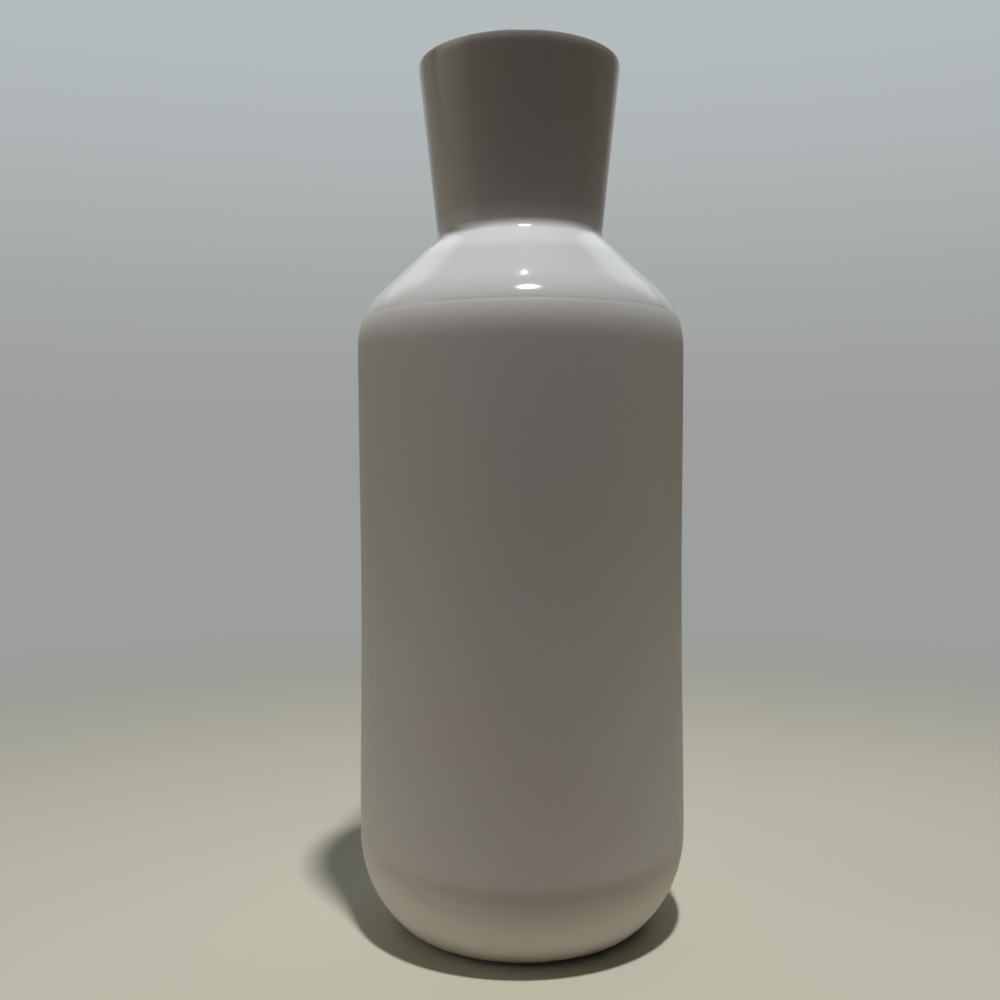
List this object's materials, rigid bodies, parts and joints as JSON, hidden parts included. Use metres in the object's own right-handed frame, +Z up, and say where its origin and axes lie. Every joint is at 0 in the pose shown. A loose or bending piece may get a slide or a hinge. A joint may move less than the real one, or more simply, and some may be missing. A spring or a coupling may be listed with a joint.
{
  "type": "bottle vase",
  "caption": "Tall off-white stoneware bottle vase: rounded base, straight body, conical shoulder and short flared neck, gloss glaze above a satin matt body, for holding flowers in water.",
  "frame": {"origin": "on the table, at the middle of the foot ring", "axes": "+Z up along the vase's axis of revolution; X and Y are any two square directions across it"},
  "size_m": [0.12, 0.12, 0.3141],
  "materials": {
    "stoneware": "bare fired clay, fine grain",
    "gloss_glaze": "gloss",
    "matt_glaze": "satin matt",
    "liner_glaze": "gloss"
  },
  "bodies": {
    "root": {"stoneware_body": "stoneware", "gloss_glaze": "gloss_glaze", "matt_glaze": "matt_glaze", "liner_glaze": "liner_glaze"}
  },
  "joints": []
}
